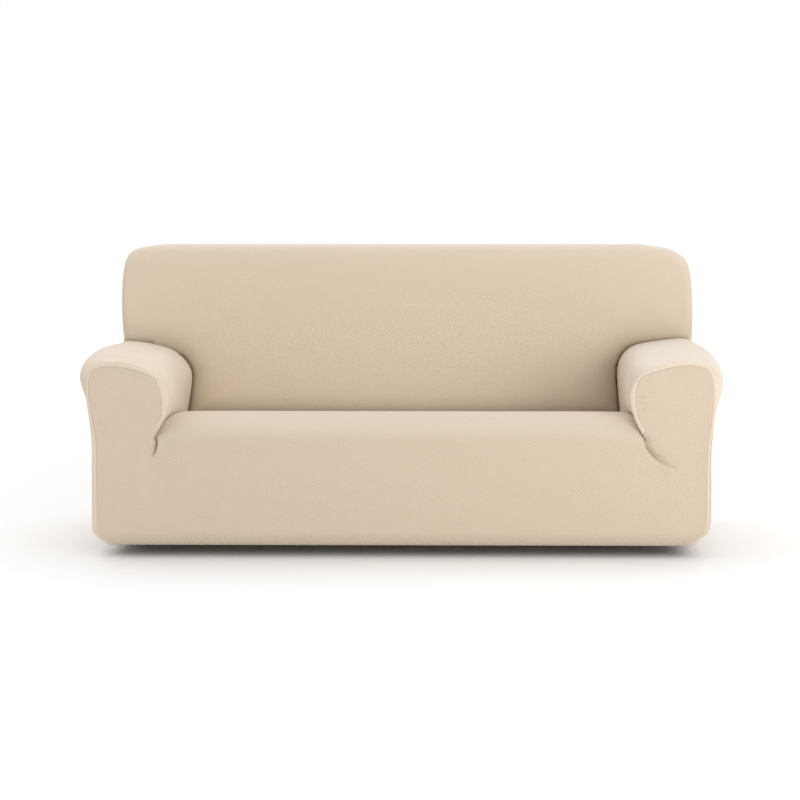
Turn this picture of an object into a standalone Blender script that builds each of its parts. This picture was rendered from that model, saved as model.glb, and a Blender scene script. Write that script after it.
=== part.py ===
# A fitted stretch-knit slipcover, three seats wide, in the shape that it takes when it is on.
# Five panels are cut from one form: the front panel (seat, apron and both arm fronts in one
# piece), two arm sleeves, the back panel and the rear panel. X runs to the right, Y to the
# rear and Z up. Sizes are in metres, with heights above the floor.

import bmesh
import bpy
from mathutils import Vector

COVER_TOP = 0.930       # height of the top of the back
CLOTH = 0.002           # thickness of the knit
SEAM_GAP = 0.0003       # space between two panels where they are sewn
MOUNT_DEPTH = 0.775     # the middle of the top of the back, where the cover hangs

# Cage lines from the middle outwards: name, distance from the middle at the base, on the arm
# and at the top of the back.
ACROSS = (
    ("middle", 0.000, 0.000, 0.000),
    ("seat", 0.340, 0.340, 0.340),
    ("seat side", 0.640, 0.640, 0.620),
    ("crease", 0.755, 0.720, 0.720),
    ("inner seam", 0.805, 0.775, 0.775),
    ("arm middle", 0.832, 0.850, 0.830),
    ("outer seam", 0.925, 0.925, 0.880),
    ("side", 0.953, 0.949, 0.944),
)
MIDDLE, SEAT, SEAT_SIDE, CREASE, INNER_SEAM, ARM_MIDDLE, OUTER_SEAM, SIDE = range(8)

# Cage lines from front to rear: name, depth low down and at the top, height of the seat in
# its middle, distance and height of the valley beside the arm, and the rise of the arm's top.
DEPTH = (
    ("front", 0.000, 0.000, 0.386, 0.742, 0.385, 0.000),
    ("front round", 0.045, 0.045, 0.422, 0.722, 0.422, 0.000),
    ("crest", 0.130, 0.130, 0.431, 0.706, 0.426, 0.009),
    ("seat middle", 0.360, 0.360, 0.412, 0.704, 0.407, 0.015),
    ("back foot", 0.600, 0.672, 0.370, 0.706, 0.366, 0.000),
    ("top front", 0.690, 0.725, 0.370, 0.706, 0.366, 0.000),
    ("top rear", 0.780, 0.810, 0.370, 0.706, 0.366, 0.000),
    ("rear", 0.845, 0.862, 0.370, 0.706, 0.366, 0.000),
)
FRONT, FRONT_ROUND, CREST, SEAT_MIDDLE, BACK_FOOT, TOP_FRONT, TOP_REAR, REAR = range(8)

# Cage lines from the hem up: name, height, how far the cloth is tucked in underneath at the
# front and at the side, and how far the seat stands out past the arms' fronts.
HEIGHT = (
    ("tucked edge", 0.041, 0.050, 0.058, 0.000),
    ("underside", 0.038, 0.022, 0.034, 0.000),
    ("hem", 0.070, 0.000, 0.010, 0.000),
    ("apron", 0.190, 0.000, 0.000, 0.002),
    ("fold end", 0.306, 0.000, 0.000, 0.010),
    ("seat top", 0.385, 0.000, 0.000, 0.012),
    ("arm low", 0.465, 0.000, 0.000, 0.000),
    ("arm seam", 0.550, 0.000, 0.000, 0.000),
    ("arm top", 0.605, 0.000, 0.000, 0.000),
    ("back low", 0.700, 0.000, 0.000, 0.000),
    ("back high", 0.855, 0.000, 0.000, 0.000),
    ("top", 0.930, 0.000, 0.000, 0.000),
)
TUCKED, UNDERSIDE, HEM, APRON, FOLD_END, SEAT_TOP = range(6)
ARM_LOW, ARM_SEAM, ARM_TOP, BACK_LOW, BACK_HIGH, TOP = range(6, 12)

# The blocks whose outer faces make the cover's form, from line to line:
# name, inner and outer line, front and rear line, top line.
BLOCKS = (
    ("base", MIDDLE, SIDE, FRONT, REAR, SEAT_TOP),
    ("arm", CREASE, SIDE, FRONT, BACK_FOOT, ARM_TOP),
    ("back", MIDDLE, SIDE, BACK_FOOT, REAR, TOP),
)

# The arm's outline, up its inner side, over its top and down its outer side, by cage line
# across and up: left distance and height, right distance and height.
ARM_OUTLINE = {
    (CREASE, ARM_LOW): (0.703, 0.462, 0.699, 0.462),
    (CREASE, ARM_SEAM): (0.709, 0.530, 0.694, 0.540),
    (CREASE, ARM_TOP): (0.743, 0.580, 0.716, 0.590),
    (INNER_SEAM, ARM_TOP): (0.795, 0.602, 0.770, 0.606),
    (ARM_MIDDLE, ARM_TOP): (0.865, 0.613, 0.850, 0.614),
    (OUTER_SEAM, ARM_TOP): (0.937, 0.616, 0.928, 0.618),
    (SIDE, ARM_TOP): (0.980, 0.600, 0.972, 0.602),
    (SIDE, ARM_SEAM): (0.993, 0.553, 0.984, 0.548),
    (SIDE, ARM_LOW): (0.970, 0.470, 0.967, 0.465),
    (SIDE, SEAT_TOP): (0.957, 0.385, 0.956, 0.385),
}

# The seam on the arm's front, in the same way.
ARM_FRONT_SEAM = {
    (INNER_SEAM, SEAT_TOP): (0.750, 0.385, 0.749, 0.385),
    (INNER_SEAM, ARM_LOW): (0.731, 0.470, 0.711, 0.455),
    (INNER_SEAM, ARM_SEAM): (0.752, 0.558, 0.730, 0.566),
    (ARM_MIDDLE, ARM_SEAM): (0.840, 0.583, 0.835, 0.589),
    (OUTER_SEAM, ARM_SEAM): (0.937, 0.588, 0.936, 0.586),
    (OUTER_SEAM, ARM_LOW): (0.958, 0.500, 0.952, 0.500),
    (OUTER_SEAM, SEAT_TOP): (0.947, 0.385, 0.946, 0.385),
}
LOW_OUTER_SEAM = 0.944      # below the seat the seam runs down beside the edge
TUCKED_OUTER_SEAM = 0.932   # and under the hem a little further in

# The fold below each valley, at its lower end: left distance and height, right ones.
FOLD_END_PLACE = (0.760, 0.308, 0.772, 0.308)

FLARE_AT_BACK = 0.3     # how much of the arm's outward flare is left where it meets the back

EDGE = 0.010            # how far the outer edges are drawn in to round them
LOW_EDGE = 0.004        # the same below the arms, where the front is squarer
BACK_CORNERS = (0.014, 0.024)   # the same for the upper corners of the back, left and right

VALLEY_CREASE = 0.9     # how tightly the cloth is pushed down round the seat
FOLD_CREASE = 0.6       # how tight the fold is that runs down the front from each valley
FIT_ROUNDS = 10         # how often the cage is corrected towards the sizes above
LEAST_TURN = 0.5        # keeps a sharp turn of a seam from moving its corner far
SHARP_ANGLE = 1.0       # edges that turn by more radians than this are shaded sharp

PANELS = ("front_panel", "sleeve_left", "sleeve_right", "back_panel", "rear_panel")
FRONT_PANEL, SLEEVE_LEFT, SLEEVE_RIGHT, BACK_PANEL, REAR_PANEL = range(5)
KNIT_COLOUR = (0.73, 0.60, 0.46, 1.0)
KNIT_ROUGHNESS = 0.9


def mix(low, high, share):
    return low + (high - low) * min(max(share, 0.0), 1.0)


def share_of_height(k, foot):
    """How far height line k is from line foot to the top, from 0 to 1."""
    return (HEIGHT[k][1] - HEIGHT[foot][1]) / (COVER_TOP - HEIGHT[foot][1])


def plain_place(line, j, k):
    """Distance from the middle, depth and height where three cage lines cross."""
    _, x_base, x_arm, x_top = ACROSS[line]
    _, y_low, y_top, _, _, _, _ = DEPTH[j]
    _, z, _, _, bulge = HEIGHT[k]
    x = mix(x_base, x_arm, (k - FOLD_END) / (ARM_LOW - FOLD_END))
    x = mix(x, x_top, share_of_height(k, ARM_TOP))
    y = mix(y_low, y_top, share_of_height(k, SEAT_TOP))
    if j == FRONT and line < CREASE:
        y -= bulge
    return x, y, z


def shaped_place(line, j, k, is_right):
    """The same, with the shapes of the seat and the arms, and the differences between the sides."""
    x, y, z = plain_place(line, j, k)
    _, _, _, seat_height, valley_x, valley_z, arm_rise = DEPTH[j]
    start = 2 if is_right else 0
    if k == SEAT_TOP and line < CREASE:
        z = seat_height
    if k == SEAT_TOP and line == CREASE:
        x, z = valley_x, valley_z
        y += HEIGHT[k][4] if j == FRONT else 0.0
    if k == FOLD_END and line == CREASE and j == FRONT:
        x, z = FOLD_END_PLACE[start:start + 2]
    if j == FRONT and line == OUTER_SEAM and k < SEAT_TOP:
        x = LOW_OUTER_SEAM if k > UNDERSIDE else TUCKED_OUTER_SEAM
    if j <= BACK_FOOT and (line, k) in ARM_OUTLINE:
        arm_x, z = ARM_OUTLINE[line, k][start:start + 2]
        x = mix(x, arm_x, FLARE_AT_BACK) if j == BACK_FOOT and line == SIDE else arm_x
        z += arm_rise if k == ARM_TOP else 0.0
    if j == FRONT and (line, k) in ARM_FRONT_SEAM:
        x, z = ARM_FRONT_SEAM[line, k][start:start + 2]
    return x, y, z


def rounding(line, j, k, is_right):
    """How far an edge's corner is drawn in towards the middle, to the rear and down."""
    inwards, rearwards, down = 0.0, 0.0, 0.0
    on_arm_rim = k == ARM_TOP or line == SIDE or (line == CREASE and k > SEAT_TOP)
    if j == FRONT and on_arm_rim:
        edge = EDGE if k >= ARM_LOW else LOW_EDGE
        rearwards = edge
        inwards = {SIDE: edge, CREASE: -edge}.get(line, 0.0)
        down = edge if k == ARM_TOP else 0.0
    if j == REAR and (line == SIDE or k == TOP):
        rearwards = -EDGE
        inwards = EDGE if line == SIDE else 0.0
    if j == BACK_FOOT and line == SIDE and k >= ARM_TOP:
        rearwards = EDGE
        inwards = EDGE
    if k == TOP:
        down = EDGE if j in (BACK_FOOT, REAR) else 0.0
        rearwards += EDGE if j == BACK_FOOT else 0.0
        if line == SIDE:
            inwards += BACK_CORNERS[is_right]
            down += BACK_CORNERS[is_right]
    _, _, front_tuck, side_tuck, _ = HEIGHT[k]
    if line in (OUTER_SEAM, SIDE):
        inwards += side_tuck
    if j in (FRONT, FRONT_ROUND):
        rearwards += front_tuck
    if j in (TOP_REAR, REAR):
        rearwards -= front_tuck
    return inwards, rearwards, down


def corner(i, j, k):
    """The cage corner on line i across (negative to the left), j in depth and k in height."""
    is_right = i > 0
    x, y, z = shaped_place(abs(i), j, k, is_right)
    inwards, rearwards, down = rounding(abs(i), j, k, is_right)
    x -= inwards
    return Vector((x if is_right else -x, y + rearwards, z - down))


def block_top(cell, j):
    """The line that the tallest block reaches in one cell, or the tucked edge outside them all."""
    line = cell if cell >= 0 else -cell - 1
    tops = [
        top
        for _, inner, outer, front, rear, top in BLOCKS
        if inner <= line < outer and front <= j < rear
    ]
    return max(tops, default=TUCKED)


def panel_of(facing, cell, j, k):
    """Which panel a cage face is cut from; it faces up, front, rear or side."""
    line = cell if cell >= 0 else -cell - 1
    sleeve = SLEEVE_LEFT if cell < 0 else SLEEVE_RIGHT
    if facing == "rear":
        return REAR_PANEL
    if j >= BACK_FOOT:
        return sleeve if facing == "side" and k < ARM_TOP else BACK_PANEL
    if facing == "side":
        return sleeve
    if facing == "up":
        return sleeve if line >= CREASE else FRONT_PANEL
    on_rim = line == OUTER_SEAM or k == ARM_SEAM or (line == CREASE and k >= SEAT_TOP)
    return sleeve if on_rim else FRONT_PANEL


def cage_faces():
    """The outer faces of the blocks: four cage corners in order, and the panel."""
    for i in range(-SIDE, SIDE):
        for j in range(REAR):
            top = block_top(i, j)
            lid = ((i, j, top), (i + 1, j, top), (i + 1, j + 1, top), (i, j + 1, top))
            yield lid, panel_of("up", i, j, top)
            walls = (
                ("front", block_top(i, j - 1), (i, j), (i + 1, j)),
                ("side", block_top(i + 1, j), (i + 1, j), (i + 1, j + 1)),
                ("rear", block_top(i, j + 1), (i + 1, j + 1), (i, j + 1)),
                ("side", block_top(i - 1, j), (i, j + 1), (i, j)),
            )
            for facing, foot, start, end in walls:
                for k in range(foot, top):
                    wall = ((*start, k), (*end, k), (*end, k + 1), (*start, k + 1))
                    yield wall, panel_of(facing, i, j, k)


def crease_of(a, b):
    """How sharp the edge between two cage corners is, from 0 to 1."""
    lines = sorted((abs(a[0]), abs(b[0])))
    depths = sorted((a[1], b[1]))
    heights = sorted((a[2], b[2]))
    beside_arm = lines == [CREASE, CREASE]
    at_back = depths == [BACK_FOOT, BACK_FOOT]
    at_seat = heights == [SEAT_TOP, SEAT_TOP]
    valleys = (
        beside_arm and at_seat and depths[1] <= BACK_FOOT,
        beside_arm and at_back and heights[0] >= SEAT_TOP and heights[1] <= ARM_TOP,
        at_back and at_seat and lines[1] <= CREASE,
        at_back and heights == [ARM_TOP, ARM_TOP] and lines[0] >= CREASE,
    )
    if any(valleys):
        return VALLEY_CREASE
    if beside_arm and depths == [FRONT, FRONT] and heights == [FOLD_END, SEAT_TOP]:
        return FOLD_CREASE
    return 0.0


def passing_place(vert, crease):
    """Where the subdivided surface passes a corner of the cage."""
    folds = [edge for edge in vert.link_edges if edge.is_boundary or edge[crease] > 0.0]
    if len(folds) > 2:
        return vert.co.copy()
    if len(folds) == 2:
        return (4.0 * vert.co + sum((edge.other_vert(vert).co for edge in folds), Vector())) / 6.0
    count = len(vert.link_edges)
    near = sum((edge.other_vert(vert).co for edge in vert.link_edges), Vector())
    around = sum((point.co for face in vert.link_faces for point in face.verts), Vector())
    opposite = around - count * vert.co - 2.0 * near
    return (count * count * vert.co + 4.0 * near + opposite) / (count * (count + 5.0))


def fit_cage(cage, crease):
    """Moves the cage out until the subdivided surface passes through the places in the tables."""
    wanted = {vert: vert.co.copy() for vert in cage.verts}
    for _ in range(FIT_ROUNDS):
        misses = {vert: place - passing_place(vert, crease) for vert, place in wanted.items()}
        for vert, miss in misses.items():
            vert.co += miss


def make_form(guides):
    """The whole cover as one sheet: a coarse cage, subdivided and then made as thick as the cloth."""
    cage = bmesh.new()
    crease = cage.edges.layers.float.new("crease_edge")
    points = {}
    for lines, panel in cage_faces():
        for point in lines:
            if point not in points:
                points[point] = cage.verts.new(corner(*point))
        face = cage.faces.new([points[point] for point in lines])
        face.material_index = panel
        for a, b in zip(lines, lines[1:] + lines[:1]):
            cage.edges.get((points[a], points[b]))[crease] = crease_of(a, b)
    fit_cage(cage, crease)
    mesh = bpy.data.meshes.new("cover_form")
    cage.to_mesh(mesh)
    cage.free()
    form = bpy.data.objects.new("cover_form", mesh)
    guides.objects.link(form)
    form.hide_render = True
    form.display_type = "WIRE"
    for name in PANELS:
        mesh.materials.append(knit_material(name))
    smooth = form.modifiers.new("smooth", "SUBSURF")
    smooth.levels = 1
    smooth.render_levels = 1
    thick = form.modifiers.new("cloth", "SOLIDIFY")
    thick.thickness = CLOTH
    thick.offset = -1.0
    thick.use_rim = False
    return form


def knit_material(name):
    material = bpy.data.materials.new(name + "_knit")
    material.use_nodes = True
    shader = material.node_tree.nodes["Principled BSDF"]
    shader.inputs["Base Color"].default_value = KNIT_COLOUR
    shader.inputs["Roughness"].default_value = KNIT_ROUGHNESS
    shader.inputs["Metallic"].default_value = 0.0
    return material


def seam_shift(vert, partner, border):
    """How a point on a panel's border moves into the panel, to leave half of the seam's space."""
    through = partner.co - vert.co
    inwards = []
    for edge in vert.link_edges:
        if edge in border:
            inward = through.cross(edge.other_vert(vert).co - vert.co).normalized()
            middle = edge.link_faces[0].calc_center_median()
            inwards.append(inward if inward.dot(middle - vert.co) > 0.0 else -inward)
    first, last = inwards[0], inwards[-1]
    return (first + last) * (SEAM_GAP / 2.0 / max(1.0 + first.dot(last), LEAST_TURN))


def cut_panel(form_mesh, index, collection):
    """One panel as a closed thin solid: its outer and inner faces, joined by a rim all round."""
    panel = bmesh.new()
    panel.from_mesh(form_mesh)
    panel.verts.ensure_lookup_table()
    half = len(panel.verts) // 2
    partner = {panel.verts[n]: panel.verts[n + half] for n in range(half)}
    others = [face for face in panel.faces if face.material_index != index]
    bmesh.ops.delete(panel, geom=others, context="FACES_ONLY")
    border = {
        edge for edge in panel.edges
        if len(edge.link_faces) == 1 and edge.verts[0] in partner and edge.verts[1] in partner
    }
    on_border = sorted({vert for edge in border for vert in edge.verts}, key=lambda vert: vert.index)
    shifts = {vert: seam_shift(vert, partner[vert], border) for vert in on_border}
    for edge in border:
        a, b = sorted(edge.verts, key=lambda vert: vert.index)
        panel.faces.new((a, b, partner[b]))
        panel.faces.new((a, partner[b], partner[a]))
    for vert, shift in shifts.items():
        vert.co += shift
        partner[vert].co += shift
    loose = [vert for vert in panel.verts if not vert.link_faces]
    bmesh.ops.delete(panel, geom=loose, context="VERTS")
    bmesh.ops.recalc_face_normals(panel, faces=panel.faces)
    mesh = bpy.data.meshes.new(PANELS[index])
    panel.to_mesh(mesh)
    panel.free()
    mesh.materials.clear()
    mesh.materials.append(form_mesh.materials[index])
    mesh.polygons.foreach_set("material_index", [0] * len(mesh.polygons))
    mesh.shade_smooth()
    mesh.set_sharp_from_angle(angle=SHARP_ANGLE)
    piece = bpy.data.objects.new(PANELS[index], mesh)
    collection.objects.link(piece)
    return piece


def build():
    for old in list(bpy.data.objects):
        bpy.data.objects.remove(old, do_unlink=True)
    cover = bpy.data.collections.new("sofa_slipcover")
    guides = bpy.data.collections.new("guides")
    bpy.context.scene.collection.children.link(cover)
    bpy.context.scene.collection.children.link(guides)

    form = make_form(guides)
    bpy.context.view_layer.update()
    evaluated = form.evaluated_get(bpy.context.evaluated_depsgraph_get())
    form_mesh = bpy.data.meshes.new_from_object(evaluated)

    # The empty carries the panels, so that the mount under the top is the part's origin.
    hanger = bpy.data.objects.new("hanger", None)
    cover.objects.link(hanger)
    hanger.location = (0.0, -MOUNT_DEPTH, CLOTH - COVER_TOP)
    for index in range(len(PANELS)):
        piece = cut_panel(form_mesh, index, cover)
        piece.parent = hanger
    form.parent = hanger


build()
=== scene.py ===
# The looks of a fitted stretch-knit slipcover. One fine form is pressed into its joints, creases
# and folds, cut into the five panels, and each panel is given its thickness, seams and knit.
# Metres, X right, Y to the rear, Z up; the frame's origin is under the top of the back.

import math

import bmesh
import bpy
import numpy as np
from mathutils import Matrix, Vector
from mathutils.bvhtree import BVHTree
from mathutils.kdtree import KDTree


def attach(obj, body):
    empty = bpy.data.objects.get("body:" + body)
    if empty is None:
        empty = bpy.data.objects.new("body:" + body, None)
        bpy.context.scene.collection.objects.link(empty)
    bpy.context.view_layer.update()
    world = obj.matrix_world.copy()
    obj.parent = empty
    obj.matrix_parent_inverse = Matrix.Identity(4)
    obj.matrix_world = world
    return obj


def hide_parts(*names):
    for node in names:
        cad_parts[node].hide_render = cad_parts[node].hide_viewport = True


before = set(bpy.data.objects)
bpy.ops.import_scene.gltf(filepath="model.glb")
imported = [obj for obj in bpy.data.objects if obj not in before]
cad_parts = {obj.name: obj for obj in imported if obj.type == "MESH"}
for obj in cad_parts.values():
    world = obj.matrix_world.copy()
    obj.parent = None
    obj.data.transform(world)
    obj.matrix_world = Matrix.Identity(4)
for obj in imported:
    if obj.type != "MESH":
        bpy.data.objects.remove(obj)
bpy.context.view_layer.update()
print("frame loaded")


# The form: the cage that the panels in the frame are made from, subdivided further. Its own sizes
# are the distance from the middle, the depth behind the arms' fronts and the height above the floor.

form = {
    "coverTop": 0.930,
    "cloth": 0.002,
    "mountDepth": 0.775,            # from the arms' fronts to the middle of the back's top
    "edge": 0.010,                  # how far the outer edges are drawn in to round them
    "innerEdge": (0.012, 0.024),    # the arms' inner edges: how far sideways, and to the rear
    "topEdge": 0.020,               # how far to the rear the front edges of the arms' tops are
    "armRoundDepth": 0.030,         # how much deeper the arms are rounded than the seat
    "lowEdge": 0.004,               # how far the outer edges are drawn in below the arms
    "backCorners": (0.022, 0.036),  # and the back's upper corners, left and right
    "flareAtBack": 0.3,             # what is left of the arm's flare where it meets the back
    "lowOuterSeam": (0.938, 0.932),
    "tuckedOuterSeam": (0.926, 0.917),
    "foldEnd": ((0.762, 0.306), (0.768, 0.306)),
    "valleyRecess": 0.006,          # how far the valleys' front ends lie behind the arms' fronts
    "valleyCrease": 0.9,            # how sharp the valleys stay when the cage is subdivided
    "fitRounds": 10,
    "rimInKnit": 0.040,             # how far the knit runs on over the arms' front rims
    "sidewaysFrom": 0.75,           # faces that look further sideways show the knit from the side
    "detail": 4,   # levels of subdivision
    "mostTriangles": 92000,         # on one side of a panel; its flattest parts are made coarser
}

# name, distance from the middle at the base, on the arm and at the top of the back
acrossLines = (
    ("middle", 0.000, 0.000, 0.000),
    ("seat", 0.340, 0.340, 0.340),
    ("seat side", 0.640, 0.640, 0.620),
    ("crease", 0.755, 0.720, 0.720),
    ("inner seam", 0.805, 0.775, 0.775),
    ("arm middle", 0.832, 0.850, 0.830),
    ("outer seam", 0.925, 0.925, 0.880),
    ("side", 0.953, 0.949, 0.944),
)
middle, seat, seatSide, crease, innerSeam, armMiddle, outerSeam, side = range(8)

# name, depth low down and at the top, height of the seat, rise of the arm's top, and the valley
# beside the arm: distance and height on the left, the same on the right
depthLines = (
    ("front", 0.000, 0.000, 0.388, 0.000, (0.7545, 0.374), (0.7395, 0.372)),
    ("front round", 0.045, 0.045, 0.4245, 0.000, (0.744, 0.412), (0.7355, 0.415)),
    ("crest", 0.130, 0.130, 0.4345, 0.006, (0.714, 0.431), (0.7155, 0.431)),
    ("seat middle", 0.360, 0.360, 0.414, 0.008, (0.716, 0.409), (0.704, 0.409)),
    ("back foot", 0.600, 0.672, 0.370, 0.000, (0.730, 0.366), (0.706, 0.366)),
    ("top front", 0.690, 0.725, 0.370, 0.000, (0.730, 0.366), (0.706, 0.366)),
    ("top rear", 0.780, 0.810, 0.370, 0.000, (0.730, 0.366), (0.706, 0.366)),
    ("rear", 0.845, 0.862, 0.370, 0.000, (0.730, 0.366), (0.706, 0.366)),
)
front, frontRound, crest, seatMiddle, backFoot, topFront, topRear, rear = range(8)

# name, height, tuck under the front, tuck under the left and right side, how far the seat
# stands out in front
heightLines = (
    ("tucked edge", 0.041, 0.050, (0.056, 0.068), 0.000),
    ("underside", 0.038, 0.022, (0.034, 0.046), 0.000),
    ("hem", 0.070, 0.000, (0.008, 0.018), 0.000),
    ("apron", 0.130, 0.000, (0.000, 0.000), 0.001),
    ("fold end", 0.306, 0.000, (0.000, 0.000), 0.010),
    ("seat top", 0.385, 0.000, (0.000, 0.000), 0.012),
    ("arm low", 0.465, 0.000, (0.000, 0.000), 0.000),
    ("arm seam", 0.550, 0.000, (0.000, 0.000), 0.000),
    ("arm top", 0.605, 0.000, (0.000, 0.000), 0.000),
    ("back low", 0.700, 0.000, (0.000, 0.000), 0.000),
    ("back high", 0.855, 0.000, (0.000, 0.000), 0.000),
    ("top", 0.9315, 0.000, (0.000, 0.000), 0.000),
)
tucked, underside, hem, apron, foldEnd, seatTop = range(6)
armLow, armSeam, armTop, backLow, backHigh, top = range(6, 12)

# the blocks whose outer faces make the form: inner and outer line, front and rear line, top
blocks = {
    "base": (middle, side, front, rear, seatTop),
    "arm": (crease, side, front, backFoot, armTop),
    "back": (middle, side, backFoot, rear, top),
}

# distance from the middle and height, left and right, by line across and up: the arm's
# outline at its front
armOutline = {
    (crease, armLow): ((0.703, 0.462), (0.694, 0.462)),
    (crease, armSeam): ((0.706, 0.530), (0.691, 0.535)),
    (crease, armTop): ((0.738, 0.580), (0.712, 0.588)),
    (innerSeam, armTop): ((0.795, 0.602), (0.770, 0.606)),
    (armMiddle, armTop): ((0.865, 0.613), (0.850, 0.614)),
    (outerSeam, armTop): ((0.937, 0.616), (0.928, 0.613)),
    (side, armTop): ((0.977, 0.600), (0.964, 0.600)),
    (side, armSeam): ((0.990, 0.551), (0.981, 0.546)),
    (side, armLow): ((0.967, 0.470), (0.966, 0.465)),
}

# the same where it meets the back
armOutlineAtBack = {
    (crease, armLow): ((0.716, 0.460), (0.698, 0.460)),
    (crease, armSeam): ((0.719, 0.527), (0.697, 0.535)),
    (crease, armTop): ((0.762, 0.576), (0.722, 0.583)),
    (innerSeam, armTop): ((0.800, 0.596), (0.769, 0.608)),
    (armMiddle, armTop): ((0.860, 0.609), (0.845, 0.621)),
    (outerSeam, armTop): ((0.937, 0.614), (0.928, 0.624)),
}

# the base's sides
baseOutline = {
    (side, tucked): ((0.949, 0.041), (0.943, 0.041)),
    (side, underside): ((0.949, 0.038), (0.943, 0.038)),
    (side, hem): ((0.949, 0.070), (0.943, 0.070)),
    (side, apron): ((0.952, 0.130), (0.945, 0.130)),
    (side, foldEnd): ((0.949, 0.306), (0.943, 0.306)),
    (side, seatTop): ((0.953, 0.385), (0.951, 0.385)),
}

# the back's sides and upper corners
backOutline = {
    (side, backLow): ((0.955, 0.700), (0.951, 0.700)),
    (side, backHigh): ((0.947, 0.855), (0.938, 0.855)),
    (outerSeam, top): ((0.880, 0.923), (0.880, 0.915)),
    (armMiddle, top): ((0.830, 0.930), (0.830, 0.925)),
}

# the seam on the arm's front
armFrontSeam = {
    (innerSeam, seatTop): ((0.7565, 0.397), (0.7430, 0.395)),
    (innerSeam, armLow): ((0.7355, 0.468), (0.710, 0.484)),
    (innerSeam, armSeam): ((0.757, 0.554), (0.728, 0.560)),
    (armMiddle, armSeam): ((0.850, 0.587), (0.845, 0.595)),
    (outerSeam, armSeam): ((0.944, 0.581), (0.932, 0.582)),
    (outerSeam, armLow): ((0.960, 0.520), (0.949, 0.520)),
    (outerSeam, seatTop): ((0.941, 0.385), (0.938, 0.385)),
}

panelNames = ("front_panel", "sleeve_left", "sleeve_right", "back_panel", "rear_panel")
frontPanel, sleeveLeft, sleeveRight, backPanel, rearPanel = range(5)


def mix(low, high, share):
    return low + (high - low) * min(max(share, 0.0), 1.0)


def shareOfHeight(k, foot):
    return (heightLines[k][1] - heightLines[foot][1]) / (form["coverTop"] - heightLines[foot][1])


def plainPlace(line, j, k):
    # distance from the middle, depth and height where three cage lines cross
    _, xBase, xArm, xTop = acrossLines[line]
    _, yLow, yTop, _, _, _, _ = depthLines[j]
    _, z, _, _, bulge = heightLines[k]
    x = mix(xBase, xArm, (k - foldEnd) / (armLow - foldEnd))
    x = mix(x, xTop, shareOfHeight(k, armTop))
    y = mix(yLow, yTop, shareOfHeight(k, seatTop))
    if j == front and line < crease:
        y -= bulge
    return x, y, z


def armPlace(line, j, k, isRight):
    # distance and height on the arm's outline, which changes from its front to the back
    x, z = armOutline[line, k][isRight]
    if (line, k) in armOutlineAtBack:
        xBack, zBack = armOutlineAtBack[line, k][isRight]
        share = depthLines[j][1] / depthLines[backFoot][1]
        x, z = mix(x, xBack, share), mix(z, zBack, share)
    elif j == backFoot:
        x = mix(acrossLines[side][2], x, form["flareAtBack"])
    return x, z + (depthLines[j][4] if k == armTop else 0.0)


def shapedPlace(line, j, k, isRight):
    # the same as plainPlace, with the shapes of the seat, the arms and the back
    x, y, z = plainPlace(line, j, k)
    if k == seatTop and line < crease:
        z = depthLines[j][3]
    if k == seatTop and line == crease:
        x, z = depthLines[j][5 + isRight]
        y += form["valleyRecess"] if j == front else 0.0
    if k == foldEnd and line == crease and j == front:
        x, z = form["foldEnd"][isRight]
    if j == front and line == outerSeam and k < seatTop:
        x = form["lowOuterSeam" if k > underside else "tuckedOuterSeam"][isRight]
    if (line, k) in baseOutline:
        x, z = baseOutline[line, k][isRight]
    if j >= backFoot and (line, k) in backOutline:
        x, z = backOutline[line, k][isRight]
    if j <= backFoot and (line, k) in armOutline:
        x, z = armPlace(line, j, k, isRight)
    if j == front and (line, k) in armFrontSeam:
        x, z = armFrontSeam[line, k][isRight]
    return x, y, z


def rounding(line, j, k, isRight):
    # how far an edge's corner is drawn in towards the middle, to the rear and down
    inwards, rearwards, down = 0.0, 0.0, 0.0
    onArmRim = k == armTop or line == side or (line == crease and k > seatTop)
    if j == front and onArmRim:
        edge = form["edge"] if k >= armLow else form["lowEdge"]
        rearwards = edge
        inwards = edge if line == side else 0.0
        down = edge if k == armTop else 0.0
        if line == crease:
            inwards, rearwards = -form["innerEdge"][0], form["innerEdge"][1]
        elif k == armTop and line != side:
            rearwards = form["topEdge"]
    if j == frontRound and (k == armTop or (line == crease and k > seatTop)):
        rearwards = form["armRoundDepth"]
    if j == rear and (line == side or k == top):
        rearwards = -form["edge"]
        inwards = form["edge"] if line == side else 0.0
    if j == backFoot and line == side and k >= armTop:
        rearwards = form["edge"]
        inwards = form["edge"]
    if k == top:
        down = form["edge"] if j in (backFoot, rear) else 0.0
        rearwards += form["edge"] if j == backFoot else 0.0
        if line == side:
            inwards += form["backCorners"][isRight]
            down += form["backCorners"][isRight]
    _, _, frontTuck, sideTuck, _ = heightLines[k]
    if line in (outerSeam, side):
        inwards += sideTuck[isRight]
    if j in (front, frontRound):
        rearwards += frontTuck
    if j in (topRear, rear):
        rearwards -= frontTuck
    return inwards, rearwards, down


def toFrame(x, y, z):
    # from the form's own sizes to the frame's axes
    return Vector((x, y - form["mountDepth"], z - form["coverTop"] + form["cloth"]))


def ownPlace(i, j, k):
    # a cage corner in the form's own sizes; i is negative on the left
    isRight = i > 0
    x, y, z = shapedPlace(abs(i), j, k, isRight)
    inwards, rearwards, down = rounding(abs(i), j, k, isRight)
    x -= inwards
    return x if isRight else -x, y + rearwards, z - down


def corner(i, j, k):
    return toFrame(*ownPlace(i, j, k))


def lineOf(cell):
    return cell if cell >= 0 else -cell - 1


def blockTop(cell, j):
    # how high the blocks stand in this cell of the plan
    tops = [tucked]
    for inner, outer, near, far, high in blocks.values():
        if inner <= lineOf(cell) < outer and near <= j < far:
            tops.append(high)
    return max(tops)


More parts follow.
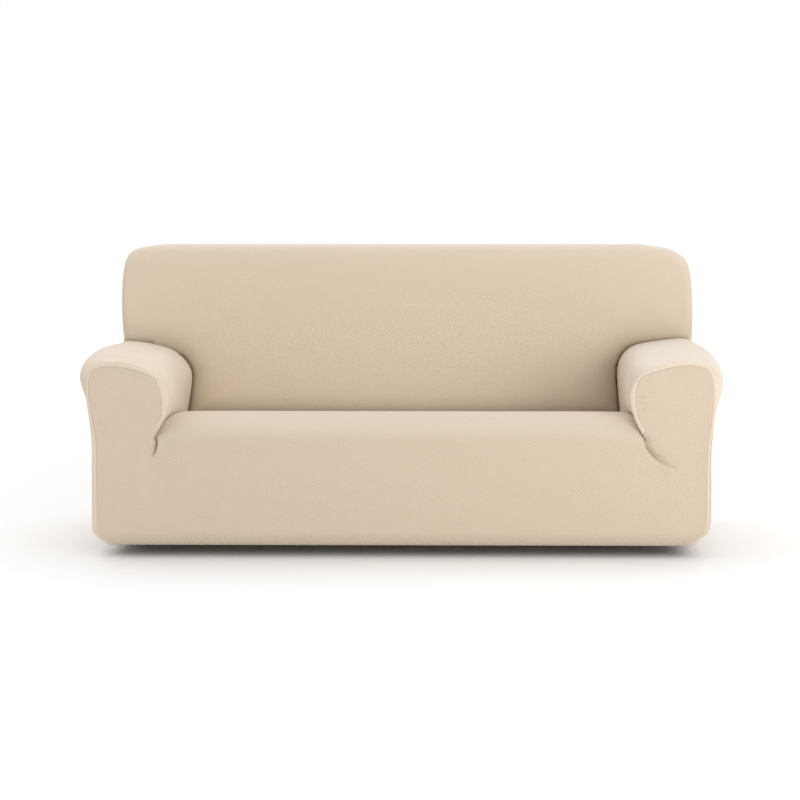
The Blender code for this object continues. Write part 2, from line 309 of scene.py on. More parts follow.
def panelOf(facing, cell, j, k):
    # which panel a block's outer face belongs to
    line = lineOf(cell)
    sleeve = sleeveLeft if cell < 0 else sleeveRight
    if facing == "rear":
        return rearPanel
    if j >= backFoot:
        return sleeve if facing == "side" and k < armTop else backPanel
    if facing == "side":
        return sleeve
    if facing == "up":
        return sleeve if line >= crease else frontPanel
    onRim = line == outerSeam or k == armSeam or (line == crease and k >= seatTop)
    return sleeve if onRim else frontPanel


def cageFaces():
    # the outer faces of the blocks: four cage corners in order, which way it faces, its panel
    for i in range(-side, side):
        for j in range(rear):
            high = blockTop(i, j)
            lid = ((i, j, high), (i + 1, j, high), (i + 1, j + 1, high), (i, j + 1, high))
            yield lid, "up", panelOf("up", i, j, high)
            walls = (
                ("front", blockTop(i, j - 1), (i, j), (i + 1, j)),
                ("side", blockTop(i + 1, j), (i + 1, j), (i + 1, j + 1)),
                ("rear", blockTop(i, j + 1), (i + 1, j + 1), (i, j + 1)),
                ("side", blockTop(i - 1, j), (i, j + 1), (i, j)),
            )
            for facing, foot, start, end in walls:
                for k in range(foot, high):
                    wall = ((*start, k), (*end, k), (*end, k + 1), (*start, k + 1))
                    yield wall, facing, panelOf(facing, i, j, k)


def creaseOf(a, b):
    # how sharp the edge between two cage corners is
    lines = sorted((abs(a[0]), abs(b[0])))
    depths = sorted((a[1], b[1]))
    heights = sorted((a[2], b[2]))
    besideArm = lines == [crease, crease]
    atBack = depths == [backFoot, backFoot]
    atSeat = heights == [seatTop, seatTop]
    valleys = (
        besideArm and atSeat and depths[1] <= backFoot,
        besideArm and atBack and heights[0] >= seatTop and heights[1] <= armTop,
        atBack and atSeat and lines[1] <= crease,
        atBack and heights == [armTop, armTop] and lines[0] >= crease,
    )
    return form["valleyCrease"] if any(valleys) else 0.0


def passingPlace(vert, creaseLayer):
    # where the subdivided surface passes a corner of the cage
    sharp = [edge for edge in vert.link_edges if edge.is_boundary or edge[creaseLayer] > 0.0]
    if len(sharp) > 2:
        return vert.co.copy()
    if len(sharp) == 2:
        return (4.0 * vert.co + sum((edge.other_vert(vert).co for edge in sharp), Vector())) / 6.0
    count = len(vert.link_edges)
    near = sum((edge.other_vert(vert).co for edge in vert.link_edges), Vector())
    around = sum((point.co for face in vert.link_faces for point in face.verts), Vector())
    opposite = around - count * vert.co - 2.0 * near
    return (count * count * vert.co + 4.0 * near + opposite) / (count * (count + 5.0))


def fitCage(cage, creaseLayer):
    # move the cage's corners until the subdivided surface passes where they were
    wanted = {vert: vert.co.copy() for vert in cage.verts}
    for _ in range(form["fitRounds"]):
        misses = {vert: place - passingPlace(vert, creaseLayer) for vert, place in wanted.items()}
        for vert, miss in misses.items():
            vert.co += miss


# Where the cloth lies when the knit is laid flat, across and up in metres: on the sleeves it runs
# around the arm, on the other panels across and up the cover.

def sleeveLoop():
    # from the valley over the arm to the tucked edge: how far along the cloth each corner is
    corners = [(crease, k) for k in range(seatTop, armTop + 1)]
    corners += [(line, armTop) for line in (innerSeam, armMiddle, outerSeam, side)]
    corners += [(side, k) for k in range(armSeam, tucked - 1, -1)]
    along, total, last = {}, 0.0, None
    for line, k in corners:
        place = corner(line, crest, k)
        total += (place - last).length if last else 0.0
        along[line, k] = total
        last = place
    return along


alongSleeve = sleeveLoop()


def onSleeve(line, j, k):
    # where a cage corner lies on the flat sleeve
    if (line, k) in alongSleeve:
        return depthLines[j][1], alongSleeve[line, k]
    rim = -form["rimInKnit"]
    if line == innerSeam:
        return rim, alongSleeve[crease, armTop if k == armSeam else k]
    if line == outerSeam:
        return rim, alongSleeve[side, armTop if k == armSeam else k]
    return rim, alongSleeve[line, armTop]


def numbers(items, name, width):
    values = np.zeros(len(items) * width, np.float32)
    items.foreach_get(name, values)
    return values.reshape(-1, width).astype(float)


def layKnit(mesh):
    # the knit on the other panels, from where each face's corners lie
    corners = np.zeros(len(mesh.loops), np.int32)
    mesh.loops.foreach_get("vertex_index", corners)
    x, y, z = numbers(mesh.vertices, "co", 3)[corners].T
    sizes = numbers(mesh.polygons, "loop_total", 1)[:, 0].astype(int)
    panel = np.repeat(numbers(mesh.polygons, "material_index", 1)[:, 0], sizes)
    normals = numbers(mesh.polygons, "normal", 3)
    sideways = np.repeat(abs(normals[:, 0]), sizes) > form["sidewaysFrom"]
    laid = numbers(mesh.uv_layers["knit"].data, "uv", 2)
    flat = (panel != sleeveLeft) & (panel != sleeveRight)
    laid[flat] = np.where(sideways, (y, z), (x, np.where(panel == rearPanel, z, y + z))).T[flat]
    mesh.uv_layers["knit"].data.foreach_set("uv", laid.astype(np.float32).ravel())


def makeForm():
    cage = bmesh.new()
    creaseLayer = cage.edges.layers.float.new("crease_edge")
    knitMap = cage.loops.layers.uv.new("knit")
    points = {}
    for lines, facing, panel in cageFaces():
        for point in lines:
            if point not in points:
                points[point] = cage.verts.new(corner(*point))
        face = cage.faces.new([points[point] for point in lines])
        face.material_index = panel
        for loop, point in zip(face.loops, lines):
            if panel in (sleeveLeft, sleeveRight):
                loop[knitMap].uv = onSleeve(abs(point[0]), *point[1:])
        for a, b in zip(lines, lines[1:] + lines[:1]):
            cage.edges.get((points[a], points[b]))[creaseLayer] = creaseOf(a, b)
    fitCage(cage, creaseLayer)
    mesh = bpy.data.meshes.new("cage")
    cage.to_mesh(mesh)
    cage.free()
    for _ in panelNames:
        mesh.materials.append(None)
    cageObject = bpy.data.objects.new("cage", mesh)
    bpy.context.scene.collection.objects.link(cageObject)
    smooth = cageObject.modifiers.new("smooth", "SUBSURF")
    smooth.levels = form["detail"]
    smooth.render_levels = form["detail"]
    bpy.context.view_layer.update()
    evaluated = cageObject.evaluated_get(bpy.context.evaluated_depsgraph_get())
    fine = bpy.data.meshes.new_from_object(evaluated)
    bpy.data.objects.remove(cageObject)
    return fine


# Joints, creases and folds, pressed into the form by lines given in its own sizes. depths
# gives how far the trough goes in at each place of the path (a ridge is below zero), and widths how
# broad it is to the left and to the right as the line runs. valley is how many of the first places
# lie in a valley of the form. lip is the side that stands up beside the trough (1 is the right),
# its height and width. shade is the painted shade around the trough: how much darker the cloth's colour is
# made, and how far out to its left and right, and line the same for a thin painted dark line along its
# bottom. finer is how many
# times the cloth is made finer around it.

folding = {
    "step": 0.002,                  # from one place of a line to the next
    "inValley": 0.97,               # a line is in a valley while its share is above this
    "samples": 16,                  # places on each edge of a valley's bottom
    "evenWays": 5,                  # places on either side that a way up is averaged with
    "evenPlaces": 2,
    "sharpAngle": 0.35,             # a valley's edges are sharper than this, in radians
    "softening": 0.5,               # how far a point goes towards its neighbours' middle
    "softenRounds": 2,
    "seamReach": 0.010,             # how far from a seam the cloth is made finer
    "reach": 0.030,                 # the same around a fold, and half as far each further time
    "spread": 3.5,                  # in widths: further out a fold has no effect
    "lipGap": 0.7,                  # in its own widths, from the trough's side to the lip
    "turned": 3.0,                  # how soon cloth that faces another way is left alone
    "shadeFall": 1.5,               # how the shade falls off outwards
    "sparse": 4,                    # one place in this many is enough to find the cloth near a line
    "absent": 0.001,                # width that stands for a lip or shade that a fold doesn't have
    "tiny": 1e-9,                   # keeps a length that is divided by above zero
}

leftJoint = [(-crease, backFoot, k) for k in range(seatTop, armTop + 1)]
leftJoint += [(-line, backFoot, armTop) for line in (innerSeam, armMiddle, outerSeam, side)]
rightJoint = [(-i, j, k) for i, j, k in leftJoint]

# shade and line in these folds are painted shade: they darken the cloth's colour along the joints, creases
# and wrinkles
folds = {
    "back joint": {
        "valley": 7,
        "path": [ownPlace(i, backFoot, seatTop) for i in range(-crease, crease + 1)],
        "depths": (0.010, 0.014, 0.014, 0.014, 0.014, 0.014, 0.010),
        "widths": (0.010, 0.010),
        "shade": (0.66, 0.036, 0.030),
        "line": (0.50, 0.008),
    },
    "left arm joint": {
        "valley": 8,
        "path": [ownPlace(*point) for point in leftJoint],
        "depths": (0.007, 0.007, 0.007, 0.006, 0.004, 0.003, 0.002, 0.000),
        "widths": (0.003, 0.005),
        "shade": (0.55, 0.004, 0.044),
        "line": (0.85, 0.0060),
        "finer": 2,
    },
    "right arm joint": {
        "valley": 8,
        "path": [ownPlace(*point) for point in rightJoint],
        "depths": (0.007, 0.007, 0.007, 0.006, 0.004, 0.003, 0.002, 0.000),
        "widths": (0.005, 0.003),
        "shade": (0.52, 0.050, 0.004),
        "line": (0.85, 0.0060),
        "finer": 2,
    },
    "left crease": {
        "valley": 4,
        "path": (
            ownPlace(-crease, seatMiddle, seatTop), ownPlace(-crease, crest, seatTop),
            ownPlace(-crease, frontRound, seatTop), ownPlace(-crease, front, seatTop),
            (-0.7512, 0.0, 0.3585), (-0.7565, 0.0, 0.3330), (-0.7680, 0.0, 0.3120),
        ),
        "depths": (0.001, 0.002, 0.002, 0.005, 0.010, 0.007, 0.000),
        "widths": (0.0030, 0.0060),
        "lip": (-1, 0.0020, 0.012),
        "shade": (0.15, 0.006, 0.010),
        "line": (0.85, 0.0025),
        "finer": 2,
    },
    "right crease": {
        "valley": 4,
        "path": (
            ownPlace(crease, seatMiddle, seatTop), ownPlace(crease, crest, seatTop),
            ownPlace(crease, frontRound, seatTop), ownPlace(crease, front, seatTop),
            (0.7429, 0.0, 0.3535), (0.7588, 0.0, 0.3270), (0.7794, 0.0, 0.3078), (0.8000, 0.0, 0.2945),
            (0.8450, 0.0, 0.2770),
        ),
        "depths": (0.001, 0.001, 0.001, 0.005, 0.009, 0.009, 0.006, 0.003, 0.000),
        "widths": (0.0120, 0.0025),
        "lip": (1, 0.0020, 0.012),
        "shade": (0.30, 0.016, 0.003),
        "line": (0.45, 0.0025),
        "finer": 2,
    },
    "left ridge": {
        "path": ((-0.768, 0.0, 0.400), (-0.774, 0.0, 0.365), (-0.778, 0.0, 0.320)),
        "depths": (0.000, -0.0022, 0.000),
        "widths": (0.011, 0.011),
        "finer": 1,
    },
    "left tension": {
        "path": ((-0.762, 0.0, 0.376), (-0.768, 0.0, 0.350), (-0.779, 0.0, 0.318)),
        "depths": (0.000, 0.0016, 0.000),
        "widths": (0.003, 0.003),
    },
    "left outer tension": {
        "path": ((-0.772, 0.0, 0.380), (-0.782, 0.0, 0.347), (-0.798, 0.0, 0.310)),
        "depths": (0.000, 0.0013, 0.000),
        "widths": (0.003, 0.003),
    },
    "below left crease": {
        "path": ((-0.757, 0.0, 0.320), (-0.746, 0.0, 0.303), (-0.738, 0.0, 0.282)),
        "depths": (0.000, 0.0012, 0.000),
        "widths": (0.003, 0.003),
    },
    "right wrinkle": {
        "path": ((0.714, 0.0, 0.503), (0.728, 0.0, 0.499), (0.748, 0.0, 0.497)),
        "depths": (0.000, 0.0018, 0.000),
        "widths": (0.0025, 0.0025),
        "line": (0.15, 0.002),
        "finer": 1,
    },
    "right middle wrinkle": {
        "path": ((0.716, 0.0, 0.484), (0.732, 0.0, 0.481), (0.752, 0.0, 0.478)),
        "depths": (0.000, 0.0018, 0.000),
        "widths": (0.0025, 0.0025),
        "line": (0.15, 0.002),
        "finer": 1,
    },
    "right lower wrinkle": {
        "path": ((0.722, 0.0, 0.466), (0.736, 0.0, 0.462), (0.750, 0.0, 0.460)),
        "depths": (0.000, 0.0015, 0.000),
        "widths": (0.0025, 0.0025),
        "line": (0.12, 0.002),
        "finer": 1,
    },
}


def smoothPath(fold, step):
    # a curve through the points: every step its place, its depth and 1 while it's in a valley
    inValley = [n < fold.get("valley", 0) for n in range(len(fold["path"]))]
    rows = zip(fold["path"], fold["depths"], inValley)
    knots = [np.array((*point, depth, valley), float) for point, depth, valley in rows]
    knots = [2 * knots[0] - knots[1], *knots, 2 * knots[-1] - knots[-2]]
    places = []
    for a, b, c, d in zip(knots, knots[1:], knots[2:], knots[3:]):
        count = max(int(np.linalg.norm((c - b)[:3]) / step), 1)
        for t in np.arange(count) / count:
            bend = (c - a) * t + (2 * a - 5 * b + 4 * c - d) * t ** 2 + (3 * b - a - 3 * c + d) * t ** 3
            places.append(b + 0.5 * bend)
    places.append(knots[-2])
    return np.array(places)


def evenly(rows, step):
    # the same line with its rows a step apart
    gaps = np.linalg.norm(np.diff(rows[:, :3], axis=0), axis=1)
    along = np.append(0.0, np.cumsum(gaps + folding["tiny"]))
    even = np.linspace(0.0, along[-1], int(along[-1] / step) + 1)
    return np.array([np.interp(even, along, column) for column in rows.T]).T


def averaged(rows, reach):
    # each row with as many on either side of it as reach says
    count = 2 * reach + 1
    padded = np.pad(rows, ((reach, reach), (0, 0)), "edge")
    return np.array([np.convolve(column, np.ones(count) / count, "valid") for column in padded.T]).T


def settled(fold, surface, valleys, step):
    # the fold's line laid on the form: its places, the depth and the way up at each
    tree, ways = valleys
    rows = []
    for x, y, z, depth, valley in smoothPath(fold, step):
        if valley > folding["inValley"]:
            place, n, _ = tree.find(toFrame(x, y, z))
            up = ways[n]
        else:
            place, up, _, _ = surface.find_nearest(toFrame(x, y, z))
        rows.append((*place, depth, *up))
    rows = evenly(np.array(rows), step)
    ups = averaged(rows[:, 4:], folding["evenWays"])
    ups /= np.linalg.norm(ups, axis=1)[:, None]
    return averaged(rows[:, :3], folding["evenPlaces"]), rows[:, 3], ups


def treeOf(places):
    tree = KDTree(len(places))
    for n, place in enumerate(places):
        tree.insert(Vector(place), n)
    tree.balance()
    return tree


def valleysOf(work):
    # places close together along the valleys' bottoms, and the way up at each
    places, ways = [], []
    count = folding["samples"]
    for edge in work.edges:
        if edge.is_manifold and edge.calc_face_angle_signed() < -folding["sharpAngle"]:
            start, end = edge.verts
            up = sum((face.normal for face in edge.link_faces), Vector()).normalized()
            places += [start.co.lerp(end.co, share) for share in np.arange(count) / count]
            ways += [up] * count
    return treeOf(places), ways


def soften(work, verts):
    # round off the facets, except beside a valley's sharp edge
    work.normal_update()
    moves = {}
    sharp = -folding["sharpAngle"]
    for vert in verts:
        edges = vert.link_edges
        if all(edge.is_manifold and edge.calc_face_angle_signed() > sharp for edge in edges):
            middle = sum((edge.other_vert(vert).co for edge in edges), Vector()) / len(edges)
            moves[vert] = folding["softening"] * vert.normal * (middle - vert.co).dot(vert.normal)
    for vert, move in moves.items():
        vert.co += move


def refine(work, places, reach):
    # a finer mesh near the places
    tree = treeOf(places)
    near = [face for face in work.faces if tree.find(face.calc_center_median())[2] < reach]
    edges = list({edge for face in near for edge in face.edges})
    bmesh.ops.subdivide_edges(work, edges=edges, cuts=1, use_grid_fill=True)
    verts = [vert for vert in work.verts if tree.find(vert.co)[2] < reach]
    for _ in range(folding["softenRounds"]):
        soften(work, verts)


def press(co, normals, shade, fold, line, step):
    # move the places in co by one fold, and paint its shade into shade: the cloth's colour darkened around
    # the trough
    places, depths, up = line
    absent = folding["absent"]
    lipSide, lip, lipWidth = fold.get("lip", (1, 0.0, absent))
    darkness, *shadeWidths = fold.get("shade", (0.0, absent, absent))
    lineDarkness, lineWidth = fold.get("line", (0.0, absent))
    reach = folding["spread"] * max(*fold["widths"], lipWidth, *shadeWidths)
    low, high = places.min(axis=0) - reach, places.max(axis=0) + reach
    near = np.nonzero(((co > low) & (co < high)).all(axis=1))[0]
    away = co[near][:, None] - places[None]
    gaps = np.linalg.norm(away, axis=2)
    rows = np.arange(len(near))
    nearest = gaps.argmin(axis=1)
    along = np.gradient(places, axis=0)
    along /= np.linalg.norm(along, axis=1)[:, None] + folding["tiny"]
    ahead = np.einsum("ij,ij->i", away[rows, nearest], along[nearest])
    gap = np.sqrt(np.maximum(gaps[rows, nearest] ** 2 - np.minimum(abs(ahead), step) ** 2, 0.0))
    right = np.cross(along, up)
    beside = np.einsum("ij,ij->i", away[rows, nearest], right[nearest])
    width = np.where(beside < 0.0, *fold["widths"])
    move = -depths[nearest] * np.exp(-(gap / width) ** 2)
    strength = np.sqrt(abs(depths[nearest]) / abs(depths).max())
    lipPlace = width + folding["lipGap"] * lipWidth
    onLip = strength * (beside * lipSide > 0.0)
    move += lip * onLip * np.exp(-((gap - lipPlace) / lipWidth) ** 2)
    facing = np.einsum("ij,ij->i", normals[near], up[nearest])
    move *= np.clip(facing * folding["turned"], 0.0, 1.0)
    # painted shade: the cloth's colour is darkened around the trough and along its bottom
    out = gap / np.where(beside < 0.0, *shadeWidths)
    darker = darkness * np.exp(-out ** folding["shadeFall"]) + lineDarkness * np.exp(-gap / lineWidth)
    shade[near] = np.maximum(shade[near], np.minimum(darker * strength, 1.0))
    co[near] += up[nearest] * move[:, None]


def seamPlaces(mesh):
    # the places where two panels meet
    panelsAt = [set() for _ in mesh.vertices]
    for polygon in mesh.polygons:
        for vertex in polygon.vertices:
            panelsAt[vertex].add(polygon.material_index)
    return [vertex.co for vertex, panels in zip(mesh.vertices, panelsAt) if len(panels) > 1]


def pressFolds(mesh):
    # the painted shade around the folds and joints, and how far the cloth faces up, for the painted light
    # on its top
    surface = BVHTree.FromPolygons([v.co for v in mesh.vertices], [p.vertices for p in mesh.polygons])
    work = bmesh.new()
    work.from_mesh(mesh)
    valleys = valleysOf(work)
    step = folding["step"]
    lines = {name: settled(fold, surface, valleys, step) for name, fold in folds.items()}
    refine(work, seamPlaces(mesh), folding["seamReach"])
    for name, fold in folds.items():
        for level in range(fold.get("finer", 0)):
            places = lines[name][0][::folding["sparse"]]
            refine(work, places, folding["reach"] / 2 ** level)
    work.to_mesh(mesh)
    work.free()
    co = numbers(mesh.vertices, "co", 3)
    normals = numbers(mesh.vertex_normals, "vector", 3)
    # painted shade from the folds, joints and creases
    shade = np.zeros(len(co))
    for name, fold in folds.items():
        press(co, normals, shade, fold, lines[name], step)
    mesh.vertices.foreach_set("co", co.astype(np.float32).ravel())
    # painted light: how far each place faces up, for painting the tops paler
    paintedTopLight = np.maximum(normals[:, 2], 0.0)
    for name, values in (("paintedShade", shade), ("paintedTopLight", paintedTopLight)):
        mesh.attributes.new(name, "FLOAT", "POINT").data.foreach_set("value", values.astype(np.float32))
    mesh.update()


# Seams: the cloth's edge turns in a little and stands up beside the seam; both fade towards
# the lower part of the cover and where the painted shade of the folds and joints is strong.

seams = {
    "dip": 0.0006,
    "dipWidth": 0.0020,
    "lipPlace": 0.0050,             # how far the part that stands up is from the seam
    "lipWidth": 0.0030,
    "fadeFrom": 0.40,               # height at which they start to fade
    "fadeTo": 0.25,
    "least": 0.25,                  # what is left of them below
    "calmPaintedShade": 0.25,               # they are gone where the painted shade is this strong
    "shadeWidth": 0.020,            # how far out the cloth is painted a little darker, a painted shade
    "hemTop": 0.042,                # the free edge below this height isn't a seam
}


def cutPanel(fine, index):
    work = bmesh.new()
    work.from_mesh(fine)
    others = [face for face in work.faces if face.material_index != index]
    bmesh.ops.delete(work, geom=others, context="FACES")
    mesh = bpy.data.meshes.new(panelNames[index])
    work.to_mesh(mesh)
    work.free()
    return mesh


def borderOf(mesh):
    # the vertices along the panel's edge
    counts = {}
    for polygon in mesh.polygons:
        for key in polygon.edge_keys:
            counts[key] = counts.get(key, 0) + 1
    return sorted({v for key, count in counts.items() if count == 1 for v in key})


def dressSeams(mesh, lip, shade):
    co = numbers(mesh.vertices, "co", 3)
    normals = numbers(mesh.vertex_normals, "vector", 3)
    heights = co[:, 2] - toFrame(0.0, 0.0, 0.0).z
    sewn = [v for v in borderOf(mesh) if heights[v] > seams["hemTop"]]
    tree = treeOf(co[sewn])
    gap = np.array([tree.find(Vector(place))[2] for place in co])
    fade = (heights - seams["fadeTo"]) / (seams["fadeFrom"] - seams["fadeTo"])
    strength = seams["least"] + (1.0 - seams["least"]) * np.clip(fade, 0.0, 1.0)
    paintedShade = numbers(mesh.attributes["paintedShade"].data, "value", 1)[:, 0]
    strength *= 1.0 - np.clip(paintedShade / seams["calmPaintedShade"], 0.0, 1.0)
    move = lip * np.exp(-((gap - seams["lipPlace"]) / seams["lipWidth"]) ** 2)
    move -= seams["dip"] * np.exp(-(gap / seams["dipWidth"]) ** 2)
    co += normals * (move * strength)[:, None]
    mesh.vertices.foreach_set("co", co.astype(np.float32).ravel())
    # painted shade: the cloth beside a seam is painted a little darker
    paintedShade = np.maximum(paintedShade, shade * np.exp(-(gap / seams["shadeWidth"]) ** 2))
    mesh.attributes["paintedShade"].data.foreach_set("value", paintedShade.astype(np.float32))
    mesh.update()


class Socket:
    # one output of a node, with the arithmetic that shaders need
    def __init__(self, shader, output):
        self.shader = shader
        self.output = output

    def maths(self, operation, *values):
        return self.shader.node("ShaderNodeMath", {"operation": operation}, *values)

    def part(self, name):
        return Socket(self.shader, self.output.node.outputs[name])

    def cosine(self):
        return self.maths("COSINE", self)

    def __add__(self, other):
        return self.maths("ADD", self, other)

    def __radd__(self, other):
        return self.maths("ADD", other, self)

    def __sub__(self, other):
        return self.maths("SUBTRACT", self, other)

    def __rsub__(self, other):
        return self.maths("SUBTRACT", other, self)

    def __mul__(self, other):
        return self.maths("MULTIPLY", self, other)

    def __rmul__(self, other):
        return self.maths("MULTIPLY", other, self)


class Shader:
    # a material's node tree; mixing is where a Mix node of colours has its inputs and its result
    mixing = {"low": 6, "high": 7, "result": 2}

    def __init__(self, name):
        self.material = bpy.data.materials.new(name)
        self.material.use_nodes = True
        self.nodes = self.material.node_tree.nodes
        self.links = self.material.node_tree.links
        self.principled = self.nodes["Principled BSDF"]

    def plug(self, socket, value):
        if isinstance(value, Socket):
            self.links.new(value.output, socket)
        else:
            socket.default_value = value

    def node(self, kind, settings, *values, output=0, **named):
        made = self.nodes.new(kind)
        for name, value in settings.items():
            setattr(made, name, value)
        for n, value in enumerate(values):
            self.plug(made.inputs[n], value)
        for name, value in named.items():
            self.plug(made.inputs[name], value)
        return Socket(self, made.outputs[output])

    def mixed(self, low, high, share):
        made = self.node("ShaderNodeMix", {"data_type": "RGBA"}, share, output=self.mixing["result"])
        for name, value in (("low", low), ("high", high)):
            self.plug(made.output.node.inputs[self.mixing[name]], value)
        return made

    def set(self, **values):
        for name, value in values.items():
            self.plug(self.principled.inputs[name.replace("_", " ")], value)


knit = {
    "colour": (0.800, 0.665, 0.515, 1.0),
    "shade": (0.490, 0.390, 0.288, 1.0),        # between the dots
    "paintedLightColour": (0.690, 0.610, 0.515, 1.0),   # painted light, where it faces up
    "paintedShadeColour": (0.230, 0.170, 0.095, 1.0),   # painted shade, down in the folds and joints and beside the seams
    "acrossRepeat": 0.0063,
    "upRepeat": 0.0095,
    "patchSize": 9.0,           # patches of stronger and weaker pattern, per metre
    "plainest": 0.3,            # the pattern's strength in the plainest patch
    "patchGain": 1.4,           # and how much more it has in the strongest
    "waverSize": 45.0,          # how the rows of dots waver, per metre and by how far
    "waver": 0.0050,
    "grainSize": 280.0,         # the yarn's own unevenness, per metre and how strong
    "grain": 0.50,
    "roughness": 0.9,
    "bumpHeight": 0.0005,
    "sheenRoughness": 0.5,
}


def knitMaterial(name, given):
    shader = Shader(name)
    flat = shader.node("ShaderNodeUVMap", {"uv_map": "knit"})
    place = shader.node("ShaderNodeSeparateXYZ", {}, flat)
    noise = shader.node("ShaderNodeTexNoise", {}, Vector=flat, Scale=knit["waverSize"], Detail=1.0)
    drift = shader.node("ShaderNodeSeparateColor", {}, noise.part("Color"))
    across = place.part("X") + knit["waver"] * (drift.part("Red") - 0.5)
    up = place.part("Y") + knit["waver"] * (drift.part("Green") - 0.5)
    tau = 2.0 * math.pi
    wales = (across * (tau / knit["acrossRepeat"])).cosine()
    courses = (up * (tau / knit["upRepeat"])).cosine()
    dots = 0.5 + 0.5 * (wales * courses)
    patches = shader.node("ShaderNodeTexNoise", {}, Vector=flat, Scale=knit["patchSize"], Detail=2.0)
    grain = shader.node("ShaderNodeTexNoise", {}, Vector=flat, Scale=knit["grainSize"], Detail=1.0)
    depth = given["pattern"] * (knit["plainest"] + knit["patchGain"] * patches)
    cover = 0.5 + depth * (dots - 0.5) + knit["grain"] * (grain - 0.5)
    shade, light = ([given["tone"] * value for value in knit[key]] for key in ("shade", "colour"))
    colour = shader.mixed(shade, light, cover)
    # painted light: the cloth is painted paler where it faces up, and the right sleeve paler all over
    paintedTopLight = shader.node("ShaderNodeAttribute", {"attribute_name": "paintedTopLight"}, output="Fac")
    least, more = given["paintedLightShare"]
    colour = shader.mixed(colour, knit["paintedLightColour"], least + more * paintedTopLight)
    # painted shade: the colour goes dark brown in the folds, joints and beside the seams
    paintedShade = shader.node("ShaderNodeAttribute", {"attribute_name": "paintedShade"}, output="Fac")
    colour = shader.mixed(colour, knit["paintedShadeColour"], paintedShade)
    bump = shader.node("ShaderNodeBump", {}, Height=dots * depth, Strength=1.0, Distance=knit["bumpHeight"])
    shader.set(Base_Color=colour, Roughness=knit["roughness"], Normal=bump)
    shader.set(Sheen_Weight=given["sheen"], Sheen_Roughness=knit["sheenRoughness"])
    return shader.material


# Each panel: the size and area it was cut to, how far it stands up beside its seams and how much
# painted shade darkens it there, how strong the knit's dots are, its share of the painted light colour
# (always, and more where it faces up, for the light from above; the right sleeve more, for the light
# from the right), how light it is, and its sheen.

panels = {
    "front_panel": {
        "flat": (1.84, 1.02), "area": 1.60, "lip": 0.0002, "seamShade": 0.02,
        "pattern": 0.85, "paintedLightShare": (0.0, 0.25), "tone": 0.91, "sheen": 0.26,
    },
    "sleeve_left": {
        "flat": (0.84, 1.12), "area": 0.75, "lip": 0.0009, "seamShade": 0.04,
        "pattern": 0.30, "paintedLightShare": (0.15, 0.45), "tone": 1.02, "sheen": 0.14,
    },
    "sleeve_right": {
        "flat": (0.84, 1.12), "area": 0.75, "lip": 0.0009, "seamShade": 0.04,
        "pattern": 0.30, "paintedLightShare": (0.35, 0.60), "tone": 1.09, "sheen": 0.14,
    },
    "back_panel": {
        "flat": (2.24, 0.74), "area": 1.30, "lip": 0.0003, "seamShade": 0.02,
        "pattern": 0.66, "paintedLightShare": (0.0, 0.55), "tone": 0.98, "sheen": 0.14,
    },
    "rear_panel": {
        "flat": (1.86, 0.94), "area": 1.66, "lip": 0.0003, "seamShade": 0.02,
        "pattern": 0.66, "paintedLightShare": (0.0, 0.55), "tone": 0.98, "sheen": 0.14,
    },
}


def makePanel(fine, index):
    name = panelNames[index]
    given = panels[name]
    mesh = cutPanel(fine, index)
    dressSeams(mesh, given["lip"], given["seamShade"])
    mesh.materials.clear()
    mesh.materials.append(knitMaterial(name + "_knit", given))
    mesh.polygons.foreach_set("material_index", [0] * len(mesh.polygons))
    mesh.shade_smooth()
    clothName = name.replace("_panel", "_cloth").replace("sleeve", "sleeve_cloth")
    piece = bpy.data.objects.new(clothName, mesh)
    bpy.context.scene.collection.objects.link(piece)
    fewer = piece.modifiers.new("fewer", "DECIMATE")
    fewer.ratio = min(form["mostTriangles"] / sum(len(p.vertices) - 2 for p in mesh.polygons), 1.0)
    thick = piece.modifiers.new("thickness", "SOLIDIFY")
    thick.thickness = form["cloth"]
    thick.offset = -1.0
    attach(piece, "root")
    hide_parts(name)
    print(piece.name, "made:", len(mesh.polygons), "faces")


fine = makeForm()
layKnit(fine)
print("form made:", len(fine.polygons), "faces")
pressFolds(fine)
print("folds pressed:", len(fine.polygons), "faces")
for index in range(len(panelNames)):
    makePanel(fine, index)


studio = {
    "floorRadius": 40.0,
    "floorSegments": 96,
    "floorColour": (0.87, 0.87, 0.87, 1.0),
    "floorRoughness": 0.8,
    "sunHeight": 4.0,
    "ambient": 0.74,
    "backdrop": 1.0,                # how bright the camera sees what is behind the floor
    "focal": 2309.0,                # in pixels of a picture as wide as pictureWidth
    "pictureWidth": 800.0,
    "sensorWidth": 36.0,
    "cameraPlace": (0.19, -7.0, 1.25),
    "yaw": 0.8,
    "pitch": 6.2,
    "shift": -0.0403,
    "clipEnd": 100.0,
}

# broad lights from far away: name, where they come from, strength, angle
suns = {
    "overhead": ((-0.12, 0.52, 0.85), 1.38, 90.0),
    "front": ((0.45, -0.87, 0.20), 0.78, 45.0),
}

# name, place it shines from, what it shines at, size, power
lamps = {
    "side": ((2.4, -2.4, 1.1), (0.5, 0.0, 0.4), 1.5, 24.0),
}


def addLight(name, kind, strength, place, towards):
    light = bpy.data.lights.new(name, kind)
    light.energy = strength
    lamp = bpy.data.objects.new(name, light)
    lamp.location = place
    lamp.rotation_euler = Vector(towards).to_track_quat("-Z", "Y").to_euler()
    bpy.context.scene.collection.objects.link(lamp)
    return light


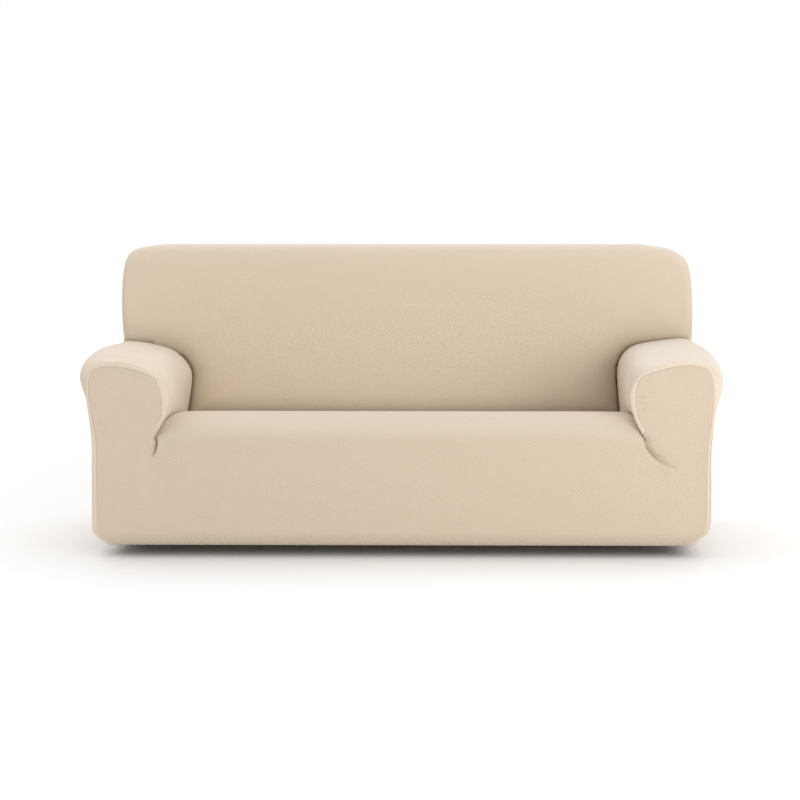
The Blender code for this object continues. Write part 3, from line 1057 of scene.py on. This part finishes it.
def makeFloor():
    work = bmesh.new()
    segments, radius = studio["floorSegments"], studio["floorRadius"]
    bmesh.ops.create_circle(work, cap_ends=True, segments=segments, radius=radius)
    mesh = bpy.data.meshes.new("floor")
    work.to_mesh(mesh)
    work.free()
    floor = bpy.data.objects.new("floor", mesh)
    floor.location = toFrame(0.0, 0.0, 0.0)
    bpy.context.scene.collection.objects.link(floor)
    shader = Shader("pale_floor")
    shader.set(Base_Color=studio["floorColour"], Roughness=studio["floorRoughness"])
    mesh.materials.append(shader.material)


def makeLights():
    for name, (source, strength, angle) in suns.items():
        place = toFrame(0.0, 0.0, studio["sunHeight"])
        light = addLight(name, "SUN", strength, place, -Vector(source))
        light.angle = math.radians(angle)
    for name, (place, aim, size, power) in lamps.items():
        light = addLight(name, "AREA", power, toFrame(*place), toFrame(*aim) - toFrame(*place))
        light.shape = "SQUARE"
        light.size = size


def makeWorld():
    world = bpy.data.worlds.new("studio")
    bpy.context.scene.world = world
    world.use_nodes = True
    nodes, links = world.node_tree.nodes, world.node_tree.links
    nodes["Background"].inputs["Strength"].default_value = studio["ambient"]
    nodes["Background"].inputs["Color"].default_value = (1.0, 1.0, 1.0, 1.0)
    seen = nodes.new("ShaderNodeBackground")
    seen.inputs["Strength"].default_value = studio["backdrop"]
    seen.inputs["Color"].default_value = (1.0, 1.0, 1.0, 1.0)
    ray = nodes.new("ShaderNodeLightPath")
    both = nodes.new("ShaderNodeMixShader")
    links.new(ray.outputs["Is Camera Ray"], both.inputs[0])
    links.new(nodes["Background"].outputs[0], both.inputs[1])
    links.new(seen.outputs[0], both.inputs[2])
    links.new(both.outputs[0], nodes["World Output"].inputs["Surface"])


def makeCamera():
    data = bpy.data.cameras.new("camera")
    data.sensor_width = studio["sensorWidth"]
    data.lens = studio["focal"] * studio["sensorWidth"] / studio["pictureWidth"]
    data.shift_x = studio["shift"]
    data.clip_end = studio["clipEnd"]
    camera = bpy.data.objects.new("camera", data)
    camera.location = toFrame(*studio["cameraPlace"])
    camera.rotation_euler = (math.radians(90.0 - studio["pitch"]), 0.0, math.radians(studio["yaw"]))
    bpy.context.scene.collection.objects.link(camera)
    bpy.context.scene.camera = camera


makeFloor()
makeLights()
makeWorld()
makeCamera()
bpy.context.scene.view_settings.view_transform = "Standard"
print("floor, light and camera made")
